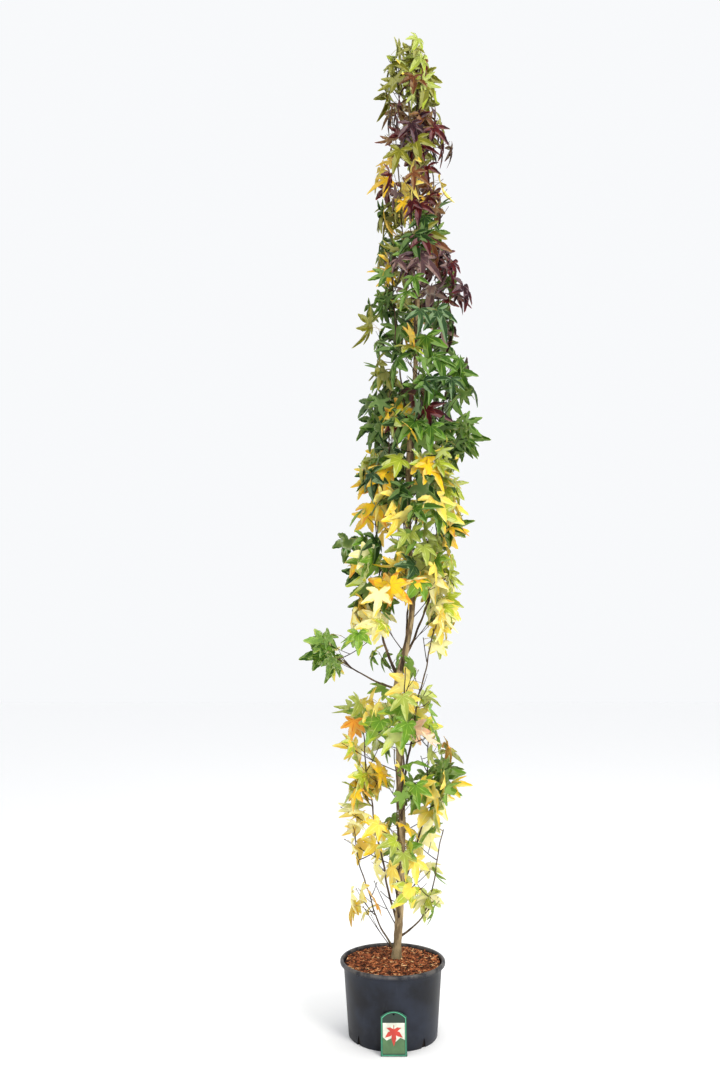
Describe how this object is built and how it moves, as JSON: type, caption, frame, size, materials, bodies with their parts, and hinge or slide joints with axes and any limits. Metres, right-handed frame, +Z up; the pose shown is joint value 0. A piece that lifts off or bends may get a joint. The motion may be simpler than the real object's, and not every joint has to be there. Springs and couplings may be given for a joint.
{
  "type": "sweetgum tree in a nursery pot",
  "caption": "Slender young columnar sweetgum in autumn leaf, grown in a round nursery pot with bark mulch and a plant label leaning on it.",
  "frame": {"origin": "centre of the pot's flat underside, on the surface that the tree stands on", "axes": "+Z up along the tree, +X to the tree's right as its label is read, +Y to its back; the label is at the front, towards -Y"},
  "size_m": [0.8409, 0.6085, 4.4998],
  "materials": {
    "pot_plastic": "satin",
    "potting_mix": "matte",
    "bark_mulch": "matte",
    "label_card": "gloss",
    "bark": "matte",
    "foliage_lime": "matte",
    "foliage_maroon": "matte",
    "foliage_green": "matte",
    "foliage_gold": "matte",
    "foliage_yellow": "matte"
  },
  "bodies": {
    "root": {"pot": "pot_plastic", "potting_mix": "potting_mix", "bark_mulch": "bark_mulch", "label": "label_card", "trunk": "bark", "bough_right_skirt": "bark", "bough_right_low": "bark", "bough_right_waist": "bark", "bough_right_mid": "bark", "bough_right_broad": "bark", "bough_right_high": "bark", "bough_right_crest": "bark", "bough_left_skirt": "bark", "bough_left_low": "bark", "bough_left_spray": "bark", "bough_left_mid": "bark", "bough_left_broad": "bark", "bough_left_high": "bark", "bough_left_crest": "bark", "bough_front_skirt": "bark", "bough_front_low": "bark", "bough_front_mid": "bark", "bough_front_high": "bark", "bough_front_crest": "bark", "bough_back_skirt": "bark", "bough_back_low": "bark", "bough_back_mid": "bark", "bough_back_high": "bark", "bough_back_crest": "bark", "foliage_right_skirt": "foliage_yellow", "foliage_right_low": "foliage_yellow", "foliage_right_waist": "foliage_yellow", "foliage_right_mid": "foliage_gold", "foliage_right_broad": "foliage_green", "foliage_right_high": "foliage_green", "foliage_right_crest": "foliage_maroon", "foliage_left_skirt": "foliage_yellow", "foliage_left_low": "foliage_yellow", "foliage_left_spray": "foliage_yellow", "foliage_left_mid": "foliage_gold", "foliage_left_broad": "foliage_green", "foliage_left_high": "foliage_green", "foliage_left_crest": "foliage_maroon", "foliage_front_skirt": "foliage_yellow", "foliage_front_low": "foliage_yellow", "foliage_front_mid": "foliage_gold", "foliage_front_high": "foliage_green", "foliage_front_crest": "foliage_maroon", "foliage_back_skirt": "foliage_yellow", "foliage_back_low": "foliage_yellow", "foliage_back_mid": "foliage_gold", "foliage_back_high": "foliage_green", "foliage_back_crest": "foliage_maroon", "foliage_leader_right": "foliage_lime", "foliage_leader_left": "foliage_lime"}
  },
  "joints": []
}
